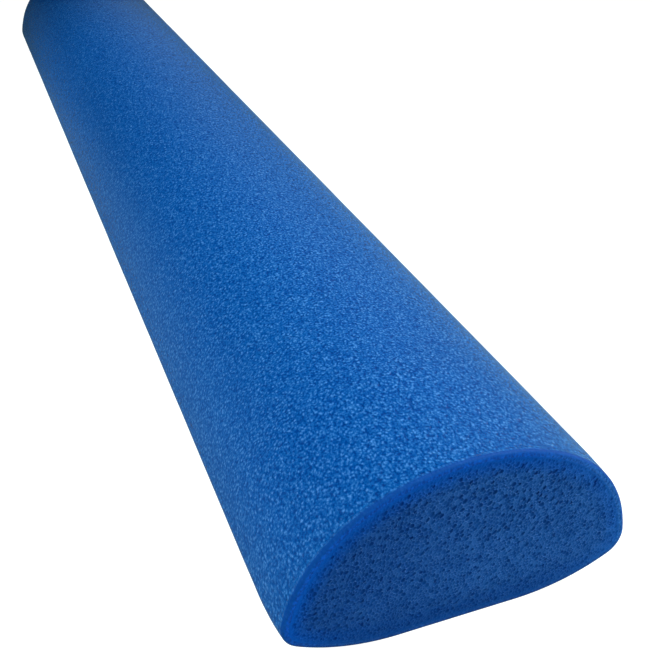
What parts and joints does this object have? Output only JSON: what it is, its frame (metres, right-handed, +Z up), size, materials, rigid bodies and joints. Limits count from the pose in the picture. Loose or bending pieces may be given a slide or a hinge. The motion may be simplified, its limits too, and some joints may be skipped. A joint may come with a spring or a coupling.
{
  "type": "half round foam roller",
  "caption": "Full-length half round roller of closed-cell foam with a dense skin over a cellular core, for balance, stretching and massage work on the floor.",
  "frame": {"origin": "on the ground under the middle of the roller, centred across its width and along its length", "axes": "Y runs along the roller, X across its width, Z up through the crown of the dome"},
  "size_m": [0.15, 0.9144, 0.08],
  "materials": {
    "skin": "fine orange-peel extrusion skin with a soft waxy sheen",
    "cut_foam": "sawn open-cell face, dull"
  },
  "bodies": {
    "root": {"outer_skin": "skin", "foam_core": "cut_foam"}
  },
  "joints": []
}
